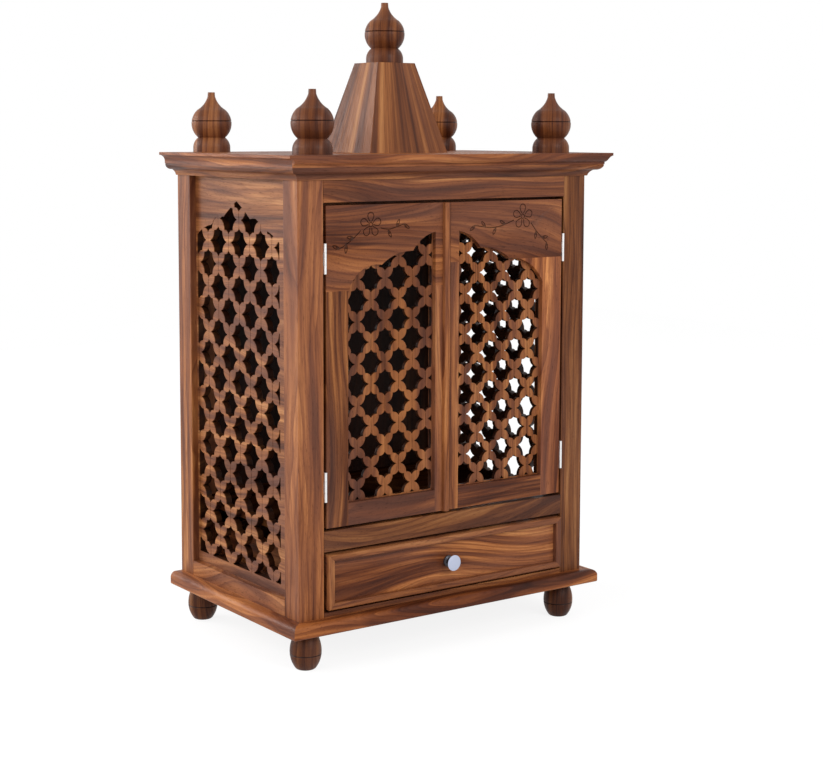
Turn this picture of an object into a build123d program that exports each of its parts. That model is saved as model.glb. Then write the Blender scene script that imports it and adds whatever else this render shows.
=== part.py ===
"""A wooden pooja mandir: a free-standing home temple cabinet.

The cabinet stands on four turned feet and a moulded base plate. Two doors and both
sides are filled with jaali, a lattice of star-shaped holes under a cusped arch. A
drawer runs under the shrine, and a hollow shikhara and five turned finials stand on
the moulded top. Millimetres, +X to the viewer's right, +Y to the back, +Z up, with
the origin under the middle of the moulded top, on the floor.
"""
from build123d import *
import os

os.makedirs("parts", exist_ok=True)

# Driving dimensions of the carcass
body_width = 610.0
body_depth = 412.0
foot_height = 66.0
foot_flat_radius = 10.0
foot_belly = (26.9, 32.0)
foot_shoulder = (19.6, 58.0)
foot_collar_radius = 22.0
foot_collar_height = 6.0
foot_inset_x = 29.0
foot_inset_y = 27.0
base_thickness = 23.0
base_overhang = 23.0
base_nose_radius = 10.0
base_lower_round = 3.0
post_width = 49.0
post_depth = 46.0
post_round = 1.6

# Top board and the moulding under it
top_thickness = 20.0
top_overhang = 36.0
top_fascia = 5.0
top_ovolo = 11.0
cove_height = 21.0
cove_reach = 24.0
cove_lip = 3.0
cove_round_end = (13.0, 10.5)
cove_round_bulge = 2.2
cove_quirk = 2.0
cove_hollow_depth = 1.6

# Side walls, back and floor
side_recess = 12.0
side_thickness = 12.0
side_rail_height = 27.0
back_thickness = 12.0
back_recess = 6.0
floor_thickness = 16.0

# Front rails, doors and drawer
rail_thickness = 20.0
bottom_rail_height = 8.0
drawer_opening_height = 103.0
middle_rail_height = 34.5
door_stop_clearance = 5.5
door_stop_thickness = 8.0
door_stop_drop = 15.0
door_opening_height = 545.0
top_rail_height = 36.5
running_gap = 5.0
meeting_gap = 5.0
door_thickness = 20.0
hinge_stile_width = 43.0
door_bottom_rail_height = 38.0
jaali_recess = 8.0
jaali_thickness = 8.0
jaali_rim = 1.5
bead_width = 11.5
bead_proud = 7.5
bead_round = 2.5

# The left door carries the closing bead, so its meeting stile is the wider one
meeting_stile_left = 27.0
meeting_stile_right = 18.0
joint_drop_left = 141.0
joint_drop_right = 103.0

# Door arch: places from the arch's middle, and down from the door's upper edge
arch_spring_drop = 146.0
arch_outer_cusp = (136.0, 101.0)
arch_inner_cusp = (72.0, 80.0)
arch_crown_drop = 50.0
arch_spring_round = (184.0, 114.0)
arch_outer_round = (107.0, 85.0)
arch_inner_round = (52.0, 60.0)

# Side arch: the outer places are in from the opening's edges and the inner ones out from
# its middle, and all are down from the body's top
side_margin_front = 31.5
side_margin_rear = 4.5
side_opening_bottom = 45.0
side_arch_spring_drop = 105.0
side_arch_outer_cusp = (54.0, 85.0)
side_arch_inner_cusp = (46.0, 70.0)
side_arch_crown_drop = 41.0
side_arch_spring_round = (28.0, 91.0)
side_arch_outer_round = (68.0, 72.0)
side_arch_inner_round = (26.0, 56.0)

# Jaali: half distances between star holes, and the star's tips and shoulders
door_star_step = (28.2, 35.35)
door_star_tip = (22.0, 22.6)
door_star_column = 41.85
door_star_shift = (2.35, 1.6)
side_star_step = (36.6, 40.5)
side_star_tip = (27.2, 26.2)
side_star_shift = (-7.8, 7.0)
star_shoulder_x = 0.52
star_shoulder_z = 0.72
star_bulge = 0.19
smallest_hole = 45.0

# Hinges
hinge_length = 50.0
hinge_leaf_width = 17.0
hinge_leaf_thickness = 1.4
hinge_knuckle_radius = 2.3
hinge_pin_radius = 1.1
hinge_pin_clearance = 0.08
hinge_knuckle_proud = 1.6
hinge_middle_share = 0.4
hinge_end_gap = 0.3
hinge_lower_rise = 45.0
hinge_upper_drop = 61.5

# Drawer
drawer_front_thickness = 18.0
drawer_wall = 12.0
drawer_rear_clearance = 32.0
drawer_box_height = 76.0
drawer_bottom_thickness = 6.0
drawer_bottom_rise = 6.0
drawer_frame_width = 11.0
drawer_frame_proud = 9.0
drawer_frame_round = 2.2
runner_ledge = 30.0
runner_guide_height = 24.0
runner_clearance = 0.3
knob_radius = 13.7
knob_height = 20.0
knob_dome = 1.5
knob_bevel = 2.0
knob_stem_radius = 7.0
knob_rose_radius = 10.0
knob_rose = 3.0

# Shikhara and finials
shikhara_base = (167.0, 155.0)
shikhara_top = (80.0, 74.0)
shikhara_height = 159.0
shikhara_wall = 12.0
shikhara_forward = 9.0
finial_height = 107.0
finial_radius = 35.8
finial_tip_radius = 6.2
finial_lip = (6.7, 99.0)
finial_neck_round = (14.0, 85.0)
finial_throat = (25.0, 75.4)
finial_waist = (24.3, 26.0)
finial_foot_round = (30.8, 18.0)
finial_foot_radius = 33.2
finial_foot_edge = 9.0
finial_inset_x = 51.0
finial_inset_y = 36.0

# Levels and planes that follow from these sizes
body_front = -(body_depth + top_overhang) / 2 + top_overhang
body_back = body_front + body_depth
half_width = body_width / 2
base_top = foot_height + base_thickness
drawer_opening_bottom = base_top + bottom_rail_height
drawer_opening_top = drawer_opening_bottom + drawer_opening_height
door_opening_bottom = drawer_opening_top + middle_rail_height
door_opening_top = door_opening_bottom + door_opening_height
body_top = door_opening_top + top_rail_height
top_bottom = body_top + cove_height
top_top = top_bottom + top_thickness
inner_post_x = half_width - post_width
inner_side_x = half_width - side_recess - side_thickness
front_post_back = body_front + post_depth
rear_post_front = body_back - post_depth
back_front = body_back - back_recess - back_thickness

door_bottom = door_opening_bottom + running_gap
door_top = door_opening_top - running_gap
door_back = body_front + door_thickness
door_outer_x = inner_post_x - running_gap
door_inner_x = meeting_gap / 2
door_hole_bottom = door_bottom + door_bottom_rail_height
left_hole = (-door_outer_x + hinge_stile_width, -door_inner_x - meeting_stile_left)
right_hole = (door_inner_x + meeting_stile_right, door_outer_x - hinge_stile_width)
arch_middle = (left_hole[1] + right_hole[0]) / 2


def write_part(piece, name):
    """Label a finished piece and write it under the node's name."""
    piece.part.label = name
    export_step(piece.part, f"parts/{name}.step")


def board(x_span, y_span, z_span):
    """A plain sawn board between two values on each axis."""
    corner = Plane(origin=(x_span[0], y_span[0], z_span[0]))
    with BuildPart(corner) as piece:
        Box(
            x_span[1] - x_span[0],
            y_span[1] - y_span[0],
            z_span[1] - z_span[0],
            align=(Align.MIN, Align.MIN, Align.MIN),
        )
    return piece


def front_plane(y):
    """Drawing plane seen from the front: its x is X and its y is Z."""
    return Plane(origin=(0, y, 0), x_dir=(1, 0, 0), z_dir=(0, -1, 0))


def side_plane(x):
    """Drawing plane across the side: its x is Y and its y is Z."""
    return Plane(origin=(x, 0, 0), x_dir=(0, 1, 0), z_dir=(1, 0, 0))


def upright_plane(x, y, z):
    """Drawing plane through the axis of a turned piece."""
    return Plane(origin=(x, y, z), x_dir=(1, 0, 0), z_dir=(0, -1, 0))


# Turned egg-shaped feet with a flat to stand on and a collar under the base plate
def turned_foot(x, y):
    collar_bottom = foot_height - foot_collar_height
    with BuildPart() as piece:
        with BuildSketch(upright_plane(x, y, 0)):
            with BuildLine():
                Line((0, 0), (foot_flat_radius, 0))
                ThreePointArc((foot_flat_radius, 0), foot_belly, foot_shoulder)
                Polyline(
                    foot_shoulder,
                    (foot_shoulder[0], collar_bottom),
                    (foot_collar_radius, collar_bottom),
                    (foot_collar_radius, foot_height),
                    (0, foot_height),
                    (0, 0),
                )
            make_face()
        revolve(axis=Axis((x, y, 0), (0, 0, 1)))
    return piece


for end, foot_y in (("front", body_front + foot_inset_y), ("rear", body_back - foot_inset_y)):
    for side, sign in (("left", -1), ("right", 1)):
        foot_x = sign * (half_width - foot_inset_x)
        write_part(turned_foot(foot_x, foot_y), f"foot_{end}_{side}")


# Base plate: nosed at the front and both ends, square and flush at the back
with BuildPart(Plane(origin=(0, body_back, foot_height))) as base_plate:
    Box(
        body_width + 2 * base_overhang,
        body_depth + base_overhang,
        base_thickness,
        align=(Align.CENTER, Align.MAX, Align.MIN),
    )
    upper_edges = base_plate.edges().group_by(Axis.Z)[-1].sort_by(Axis.Y)[:-1]
    fillet(upper_edges, base_nose_radius)
    lower_edges = base_plate.edges().group_by(Axis.Z)[0].sort_by(Axis.Y)[:-1]
    fillet(lower_edges, base_lower_round)
write_part(base_plate, "base_plate")


# Four corner posts with slightly rounded corners, up to the top board
def corner_post(x_span, y_span):
    with BuildPart(Plane(origin=(x_span[0], y_span[0], base_top))) as piece:
        Box(
            post_width,
            post_depth,
            top_bottom - base_top,
            align=(Align.MIN, Align.MIN, Align.MIN),
        )
        fillet(piece.edges().filter_by(Axis.Z), post_round)
    return piece


for end, post_y in (("front", (body_front, front_post_back)), ("rear", (rear_post_front, body_back))):
    write_part(corner_post((-half_width, -inner_post_x), post_y), f"post_{end}_left")
    write_part(corner_post((inner_post_x, half_width), post_y), f"post_{end}_right")


# Star hole of the jaali: four sharp tips and four shoulders, joined by hollow sides
def star_hole(tip):
    tips = [(0, tip[1]), (tip[0], 0), (0, -tip[1]), (-tip[0], 0)]
    shoulder_x = tip[0] * star_shoulder_x
    shoulder_z = tip[1] * star_shoulder_z
    shoulders = [
        (shoulder_x, shoulder_z),
        (shoulder_x, -shoulder_z),
        (-shoulder_x, -shoulder_z),
        (-shoulder_x, shoulder_z),
    ]
    corners = [point for pair in zip(tips, shoulders) for point in pair]
    for start, end in zip(corners, corners[1:] + corners[:1]):
        side_length = (Vector(*end) - Vector(*start)).length
        SagittaArc(start, end, -star_bulge * side_length)


def star_field(step, tip, reach):
    """Star holes in staggered rows around the origin, as far as the reach each way."""
    columns = int(reach[0] / step[0]) + 1
    rows = int(reach[1] / step[1]) + 1
    places = [
        (column * step[0], row * step[1])
        for column in range(-columns, columns + 1)
        for row in range(-rows, rows + 1)
        if (column + row) % 2 == 0
    ]
    with BuildSketch() as stars:
        with Locations(*places):
            with BuildSketch(mode=Mode.PRIVATE) as star:
                with BuildLine():
                    star_hole(tip)
                make_face()
            add(star.sketch)
    return stars.sketch


# Cusped arch: three lobes a side that meet in downward cusps
def arched_region(left, right, bottom, middle, crown, inner, outer, rounds, spring):
    """An opening with upright sides under a cusped arch, open lobes on both sides."""
    inner_round, outer_round, spring_round = rounds
    with BuildSketch() as region:
        with BuildLine():
            Polyline((left, spring), (left, bottom), (right, bottom), (right, spring))
            for sign, edge in ((1, right), (-1, left)):
                ThreePointArc(
                    (edge, spring),
                    (middle + sign * spring_round[0], spring_round[1]),
                    (middle + sign * outer[0], outer[1]),
                )
                ThreePointArc(
                    (middle + sign * outer[0], outer[1]),
                    (middle + sign * outer_round[0], outer_round[1]),
                    (middle + sign * inner[0], inner[1]),
                )
                ThreePointArc(
                    (middle + sign * inner[0], inner[1]),
                    (middle + sign * inner_round[0], inner_round[1]),
                    (middle, crown),
                )
        make_face()
    return region.sketch


def holes_inside(stars, region):
    """The star holes cut off by the arch, without the slivers that no saw would cut."""
    with BuildSketch() as cut:
        add(stars)
        add(region, mode=Mode.INTERSECT)
    return [face for face in cut.sketch.faces() if face.area > smallest_hole]


# Side walls: one pierced board between the posts on each side
side_opening = (front_post_back + side_margin_front, rear_post_front - side_margin_rear)
side_middle = (side_opening[0] + side_opening[1]) / 2
side_half = (side_opening[1] - side_opening[0]) / 2
side_region = arched_region(
    side_opening[0],
    side_opening[1],
    base_top + side_opening_bottom,
    side_middle,
    body_top - side_arch_crown_drop,
    (side_arch_inner_cusp[0], body_top - side_arch_inner_cusp[1]),
    (side_half - side_arch_outer_cusp[0], body_top - side_arch_outer_cusp[1]),
    (
        (side_arch_inner_round[0], body_top - side_arch_inner_round[1]),
        (side_half - side_arch_outer_round[0], body_top - side_arch_outer_round[1]),
        (side_half - side_arch_spring_round[0], body_top - side_arch_spring_round[1]),
    ),
    body_top - side_arch_spring_drop,
)
side_star_middle = (
    side_middle + side_star_shift[0],
    (base_top + body_top) / 2 + side_star_shift[1],
)
side_reach = (side_half + side_star_step[0], (body_top - base_top) / 2)
side_stars = star_field(side_star_step, side_star_tip, side_reach)
side_holes = holes_inside(
    side_stars.moved(Location((side_star_middle[0], side_star_middle[1], 0))), side_region
)


def pierced_side(inner_face_x):
    with BuildPart() as piece:
        with BuildSketch(side_plane(inner_face_x)):
            with Locations(((front_post_back + rear_post_front) / 2, base_top + side_rail_height)):
                Rectangle(
                    rear_post_front - front_post_back,
                    top_bottom - base_top - side_rail_height,
                    align=(Align.CENTER, Align.MIN),
                )
            add(side_holes, mode=Mode.SUBTRACT)
        extrude(amount=side_thickness)
    return piece


write_part(pierced_side(-inner_side_x - side_thickness), "side_jaali_left")
write_part(pierced_side(inner_side_x), "side_jaali_right")

for side, rail_x in (("left", (-half_width, -inner_side_x)), ("right", (inner_side_x, half_width))):
    side_rail = board(
        rail_x,
        (front_post_back, rear_post_front),
        (base_top, base_top + side_rail_height),
    )
    write_part(side_rail, f"side_rail_{side}")

# Solid back between the rear posts, and the shrine floor notched round all four posts
back_panel = board(
    (-inner_post_x, inner_post_x),
    (back_front, back_front + back_thickness),
    (base_top, top_bottom),
)
write_part(back_panel, "back_panel")

rail_back = body_front + rail_thickness
with BuildPart() as shrine_floor:
    with BuildSketch(Plane.XY.offset(door_opening_bottom - floor_thickness)):
        with Locations((0, (rail_back + back_front) / 2)):
            Rectangle(2 * inner_post_x, back_front - rail_back)
        with Locations((0, (front_post_back + rear_post_front) / 2)):
            Rectangle(2 * inner_side_x, rear_post_front - front_post_back)
    extrude(amount=floor_thickness)
write_part(shrine_floor, "shrine_floor")

# Front rails between the posts; the top rail carries a stop behind the doors' gap
front_rails = {
    "front_bottom_rail": (base_top, drawer_opening_bottom),
    "front_middle_rail": (drawer_opening_top, door_opening_bottom),
}
for name, rail_z in front_rails.items():
    write_part(board((-inner_post_x, inner_post_x), (body_front, rail_back), rail_z), name)

door_stop_front = door_back + door_stop_clearance
door_stop_back = door_stop_front + door_stop_thickness
with BuildPart() as top_rail:
    with BuildSketch(side_plane(-inner_post_x)):
        with BuildLine():
            Polyline(
                (body_front, top_bottom),
                (body_front, door_opening_top),
                (door_stop_front, door_opening_top),
                (door_stop_front, door_opening_top - door_stop_drop),
                (door_stop_back, door_opening_top - door_stop_drop),
                (door_stop_back, top_bottom),
                close=True,
            )
        make_face()
    extrude(amount=2 * inner_post_x)
write_part(top_rail, "front_top_rail")

# Top board with an ovolo edge on three sides, square and flush at the back
ovolo_bottom = top_top - top_fascia - top_ovolo
with BuildPart() as top_board:
    with BuildSketch(side_plane(-half_width - top_overhang)):
        lip = body_front - top_overhang
        with BuildLine():
            Polyline(
                (lip + top_ovolo, ovolo_bottom),
                (lip + top_ovolo, top_bottom),
                (body_back, top_bottom),
                (body_back, top_top),
                (lip, top_top),
                (lip, top_top - top_fascia),
            )
            RadiusArc(
                (lip, top_top - top_fascia),
                (lip + top_ovolo, ovolo_bottom),
                -top_ovolo,
            )
        make_face()
    extrude(amount=body_width + 2 * top_overhang)
    for sign in (-1, 1):
        end_x = sign * (half_width + top_overhang)
        with BuildSketch(front_plane(body_back)):
            with BuildLine():
                Polyline(
                    (end_x, top_top - top_fascia),
                    (end_x, top_bottom),
                    (end_x - sign * top_ovolo, top_bottom),
                    (end_x - sign * top_ovolo, ovolo_bottom),
                )
                RadiusArc(
                    (end_x - sign * top_ovolo, ovolo_bottom),
                    (end_x, top_top - top_fascia),
                    sign * top_ovolo,
                )
            make_face()
        extrude(amount=body_depth + top_overhang, mode=Mode.SUBTRACT)
write_part(top_board, "top_board")


# Cove moulding under the top board, three lengths mitred at the front corners
def cove_section(face, outward):
    """Section of the cove: a lip, a round, a quirk and a hollow down to the body."""
    round_level = top_bottom - cove_round_end[1]
    quirk_x = face + outward * (cove_round_end[0] - cove_quirk)
    with BuildSketch() as section:
        with BuildLine():
            Polyline(
                (face + outward * cove_lip, body_top),
                (face, body_top),
                (face, top_bottom),
                (face + outward * cove_reach, top_bottom),
                (face + outward * cove_reach, top_bottom - cove_lip),
            )
            SagittaArc(
                (face + outward * cove_reach, top_bottom - cove_lip),
                (face + outward * cove_round_end[0], round_level),
                outward * cove_round_bulge,
            )
            Line((face + outward * cove_round_end[0], round_level), (quirk_x, round_level))
            SagittaArc(
                (quirk_x, round_level),
                (face + outward * cove_lip, body_top),
                -outward * cove_hollow_depth,
            )
        make_face()
    return section.sketch


mitre_left = Plane(origin=(-half_width, body_front, 0), z_dir=(1, -1, 0))
mitre_right = Plane(origin=(half_width, body_front, 0), z_dir=(-1, -1, 0))
with BuildPart() as cove_front:
    with BuildSketch(side_plane(-half_width - cove_reach)):
        add(cove_section(body_front, -1))
    extrude(amount=body_width + 2 * cove_reach)
    split(bisect_by=mitre_left, keep=Keep.TOP)
    split(bisect_by=mitre_right, keep=Keep.TOP)
write_part(cove_front, "cove_front")

for side, sign, mitre in (("left", -1, mitre_left), ("right", 1, mitre_right)):
    with BuildPart() as cove_side:
        with BuildSketch(front_plane(body_back)):
            add(cove_section(sign * half_width, sign))
        extrude(amount=body_depth + cove_reach)
        split(bisect_by=mitre, keep=Keep.BOTTOM)
    write_part(cove_side, f"cove_{side}")


# Doors: two stiles, a bottom rail and an arched top board round a jaali panel
def door_arch(hole, rim=0.0):
    """The hole through one door: half of the arch that both doors share, less a rim."""
    whole = arched_region(
        left_hole[0],
        right_hole[1],
        door_hole_bottom,
        arch_middle,
        door_top - arch_crown_drop,
        (arch_inner_cusp[0], door_top - arch_inner_cusp[1]),
        (arch_outer_cusp[0], door_top - arch_outer_cusp[1]),
        (
            (arch_inner_round[0], door_top - arch_inner_round[1]),
            (arch_outer_round[0], door_top - arch_outer_round[1]),
            (arch_spring_round[0], door_top - arch_spring_round[1]),
        ),
        door_top - arch_spring_drop,
    )
    with BuildSketch() as half:
        add(whole.moved(Location((0, -rim, 0))))
        with Locations((hole[0] + rim, door_hole_bottom + rim)):
            Rectangle(
                hole[1] - hole[0] - 2 * rim,
                door_top - door_hole_bottom,
                align=(Align.MIN, Align.MIN),
                mode=Mode.INTERSECT,
            )
    return half.sketch


def frame_board(opening, *spans):
    """One board of the door frame: its rectangles less the arched hole."""
    with BuildPart() as piece:
        with BuildSketch(front_plane(door_back)):
            for x_span, z_span in spans:
                with Locations((x_span[0], z_span[0])):
                    Rectangle(
                        x_span[1] - x_span[0], z_span[1] - z_span[0], align=(Align.MIN, Align.MIN)
                    )
            add(opening, mode=Mode.SUBTRACT)
        extrude(amount=door_thickness)
    return piece


def jaali_panel(hole, sign):
    """The pierced panel, held in the door frame behind its front face."""
    reach = (hole[1] - hole[0] + door_star_step[0], (door_top - door_bottom) / 2)
    stars = star_field(door_star_step, door_star_tip, reach)
    star_x = arch_middle + door_star_shift[0] + sign * door_star_column
    star_z = (door_bottom + door_top) / 2 + door_star_shift[1]
    place = Location((star_x, star_z, 0))
    holes = holes_inside(stars.moved(place), door_arch(hole, jaali_rim))
    with BuildPart() as piece:
        with BuildSketch(front_plane(body_front + jaali_recess + jaali_thickness)):
            add(door_arch(hole))
            add(holes, mode=Mode.SUBTRACT)
        extrude(amount=jaali_thickness)
    return piece


doors = {
    "left": (-1, left_hole, joint_drop_left),
    "right": (1, right_hole, joint_drop_right),
}
for side, (sign, hole, joint_drop) in doors.items():
    opening = door_arch(hole)
    outline = sorted((sign * door_outer_x, sign * door_inner_x))
    joint = door_top - joint_drop
    low_stile = (outline[0], hole[0])
    high_stile = (hole[1], outline[1])
    hinge_span, meeting_span = (low_stile, high_stile) if sign < 0 else (high_stile, low_stile)
    hinge_edge = hole[0] if sign < 0 else hole[1]
    spandrel_span = sorted((hinge_edge, arch_middle + sign * arch_outer_cusp[0]))
    hinge_stile = frame_board(
        opening,
        (hinge_span, (door_bottom, joint)),
        (spandrel_span, (door_top - arch_spring_drop, joint)),
    )
    write_part(hinge_stile, f"{side}_door_hinge_stile")
    meeting_stile = frame_board(opening, (meeting_span, (door_bottom, joint)))
    write_part(meeting_stile, f"{side}_door_meeting_stile")
    top_piece = frame_board(opening, (outline, (joint, door_top)))
    write_part(top_piece, f"{side}_door_top_board")
    bottom_rail = frame_board(opening, (hole, (door_bottom, door_hole_bottom)))
    write_part(bottom_rail, f"{side}_door_bottom_rail")
    write_part(jaali_panel(hole, sign), f"{side}_door_jaali")

# Closing bead, proud on the left door's meeting edge
with BuildPart(
    Plane(origin=(-door_inner_x - bead_width, body_front - bead_proud, door_bottom))
) as door_bead:
    Box(bead_width, bead_proud, door_top - door_bottom, align=(Align.MIN, Align.MIN, Align.MIN))
    fillet(door_bead.edges().filter_by(Axis.Z).group_by(Axis.Y)[0], bead_round)
write_part(door_bead, "left_door_bead")

# Butt hinges: a leaf on the post with the outer knuckles and the pin, and a leaf on
# the door edge with the middle knuckle
hinge_axis_x = inner_post_x - running_gap / 2
hinge_axis_y = body_front - hinge_knuckle_proud
hinge_leaf_front = hinge_axis_y + hinge_knuckle_radius + hinge_end_gap
middle_knuckle = hinge_length * hinge_middle_share
end_knuckle = (hinge_length - middle_knuckle) / 2 - hinge_end_gap
hinge_bottoms = (door_bottom + hinge_lower_rise, door_top - hinge_upper_drop - hinge_length)


def hinge_leaves(sign, on_post):
    """Both leaves of one kind on one side of the cabinet, upper and lower."""
    inner = inner_post_x - hinge_leaf_thickness if on_post else door_outer_x
    with BuildPart() as piece:
        for bottom in hinge_bottoms:
            middle_bottom = bottom + end_knuckle + hinge_end_gap
            knuckles = (
                [(bottom, end_knuckle), (bottom + hinge_length - end_knuckle, end_knuckle)]
                if on_post
                else [(middle_bottom, middle_knuckle)]
            )
            leaf_x = sign * (inner + hinge_leaf_thickness / 2)
            with BuildSketch(Plane.XY.offset(bottom)):
                with Locations((leaf_x, hinge_leaf_front)):
                    Rectangle(
                        hinge_leaf_thickness,
                        hinge_leaf_width,
                        align=(Align.CENTER, Align.MIN),
                    )
            extrude(amount=hinge_length)
            for knuckle_bottom, knuckle_height in knuckles:
                with BuildSketch(Plane.XY.offset(knuckle_bottom)):
                    with Locations((sign * hinge_axis_x, hinge_axis_y)):
                        Circle(hinge_knuckle_radius)
                    with Locations((leaf_x, hinge_axis_y)):
                        Rectangle(
                            hinge_leaf_thickness,
                            hinge_leaf_front - hinge_axis_y,
                            align=(Align.CENTER, Align.MIN),
                        )
                extrude(amount=knuckle_height)
            with BuildSketch(Plane.XY.offset(bottom)):
                with Locations((sign * hinge_axis_x, hinge_axis_y)):
                    Circle(hinge_pin_radius + (0 if on_post else hinge_pin_clearance))
            extrude(amount=hinge_length, mode=Mode.ADD if on_post else Mode.SUBTRACT)
    return piece


for side, sign in (("left", -1), ("right", 1)):
    write_part(hinge_leaves(sign, True), f"{side}_post_hinge_leaves")
    write_part(hinge_leaves(sign, False), f"{side}_door_hinge_leaves")

# Drawer: front with a proud picture-frame moulding, box, bottom and knob
drawer_half = inner_post_x - running_gap
drawer_bottom_z = drawer_opening_bottom + running_gap
drawer_top_z = drawer_opening_top - running_gap
drawer_face_back = body_front + drawer_front_thickness
drawer_rear = back_front - drawer_rear_clearance
box_top = drawer_bottom_z + drawer_box_height
drawer_front = board(
    (-drawer_half, drawer_half), (body_front, drawer_face_back), (drawer_bottom_z, drawer_top_z)
)
write_part(drawer_front, "drawer_front")

drawer_middle_z = (drawer_bottom_z + drawer_top_z) / 2
with BuildPart() as drawer_frame:
    with BuildSketch(front_plane(body_front)):
        with Locations((0, drawer_middle_z)):
            Rectangle(2 * drawer_half, drawer_top_z - drawer_bottom_z)
            Rectangle(
                2 * (drawer_half - drawer_frame_width),
                drawer_top_z - drawer_bottom_z - 2 * drawer_frame_width,
                mode=Mode.SUBTRACT,
            )
    extrude(amount=drawer_frame_proud)
    fillet(drawer_frame.faces().sort_by(Axis.Y)[0].edges(), drawer_frame_round)
write_part(drawer_frame, "drawer_front_frame")

box_wall_x = drawer_half - drawer_wall
for side, wall_x in (("left", (-drawer_half, -box_wall_x)), ("right", (box_wall_x, drawer_half))):
    drawer_side = board(wall_x, (drawer_face_back, drawer_rear), (drawer_bottom_z, box_top))
    write_part(drawer_side, f"drawer_side_{side}")
drawer_back = board(
    (-box_wall_x, box_wall_x), (drawer_rear - drawer_wall, drawer_rear), (drawer_bottom_z, box_top)
)
write_part(drawer_back, "drawer_back")
drawer_bottom = board(
    (-box_wall_x, box_wall_x),
    (drawer_face_back, drawer_rear - drawer_wall),
    (
        drawer_bottom_z + drawer_bottom_rise,
        drawer_bottom_z + drawer_bottom_rise + drawer_bottom_thickness,
    ),
)
write_part(drawer_bottom, "drawer_bottom")

# Turned metal knob: rose, stout stem and nearly flat cap, on the drawer's front
knob_plane = Plane(
    origin=(0, body_front, drawer_middle_z), x_dir=(1, 0, 0), z_dir=(0, 0, -1)
)
cap_rim = knob_height - knob_dome
with BuildPart() as drawer_knob:
    with BuildSketch(knob_plane):
        with BuildLine():
            Polyline(
                (0, knob_height),
                (0, 0),
                (knob_rose_radius, 0),
                (knob_rose_radius, knob_rose),
                (knob_stem_radius, knob_rose + knob_bevel),
                (knob_stem_radius, cap_rim - 2 * knob_bevel),
                (knob_radius - knob_bevel, cap_rim - knob_bevel),
                (knob_radius, cap_rim),
            )
            TangentArc((0, knob_height), (knob_radius, cap_rim), tangent=(1, 0))
        make_face()
    revolve(axis=Axis((0, body_front, drawer_middle_z), (0, -1, 0)))
write_part(drawer_knob, "drawer_knob")

# Fixed runners: a ledge that carries the drawer and a guide beside it, post to post
ledge_inner = inner_post_x - runner_ledge
for side, sign in (("left", -1), ("right", 1)):
    with BuildPart() as runner:
        with BuildSketch(front_plane(rear_post_front)):
            with BuildLine():
                Polyline(
                    (sign * ledge_inner, base_top),
                    (sign * inner_side_x, base_top),
                    (sign * inner_side_x, drawer_bottom_z + runner_guide_height),
                    (sign * inner_post_x, drawer_bottom_z + runner_guide_height),
                    (sign * inner_post_x, drawer_bottom_z - runner_clearance),
                    (sign * ledge_inner, drawer_bottom_z - runner_clearance),
                    close=True,
                )
            make_face()
        extrude(amount=rear_post_front - front_post_back)
    write_part(runner, f"drawer_runner_{side}")

# Shikhara: a hollow tapering tower with a closed top
shikhara_y = (body_front + body_back) / 2 - shikhara_forward
with BuildPart() as shikhara:
    with BuildSketch(Plane(origin=(0, shikhara_y, top_top))):
        Rectangle(*shikhara_base)
    with BuildSketch(Plane(origin=(0, shikhara_y, top_top + shikhara_height))):
        Rectangle(*shikhara_top)
    loft()
    with BuildSketch(Plane(origin=(0, shikhara_y, top_top))):
        Rectangle(shikhara_base[0] - 2 * shikhara_wall, shikhara_base[1] - 2 * shikhara_wall)
    with BuildSketch(Plane(origin=(0, shikhara_y, top_top + shikhara_height - shikhara_wall))):
        Rectangle(shikhara_top[0] - 2 * shikhara_wall, shikhara_top[1] - 2 * shikhara_wall)
    loft(mode=Mode.SUBTRACT)
write_part(shikhara, "shikhara")


# Turned finials: an onion on a rounded foot, with a short open neck at the tip
def turned_finial(x, y, z):
    with BuildPart() as piece:
        with BuildSketch(upright_plane(x, y, z)):
            with BuildLine():
                Polyline((0, 0), (finial_foot_radius, 0), (finial_foot_radius, finial_foot_edge))
                ThreePointArc(
                    (finial_foot_radius, finial_foot_edge),
                    finial_foot_round,
                    finial_waist,
                )
                ThreePointArc(
                    finial_waist,
                    (finial_radius, (finial_waist[1] + finial_throat[1]) / 2),
                    finial_throat,
                )
                ThreePointArc(finial_throat, finial_neck_round, finial_lip)
                Polyline(
                    finial_lip,
                    (finial_tip_radius, finial_height),
                    (0, finial_height),
                    (0, 0),
                )
            make_face()
        revolve(axis=Axis((x, y, z), (0, 0, 1)))
    return piece


finial_ys = {"front": body_front + finial_inset_y, "rear": body_back - finial_inset_y}
for end, finial_y in finial_ys.items():
    for side, sign in (("left", -1), ("right", 1)):
        corner_finial = turned_finial(sign * (half_width - finial_inset_x), finial_y, top_top)
        write_part(corner_finial, f"finial_{end}_{side}")
write_part(turned_finial(0, shikhara_y, top_top + shikhara_height), "shikhara_finial")
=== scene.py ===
import math
from functools import partial

import bmesh
import bpy
from mathutils import Matrix, Vector


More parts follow.
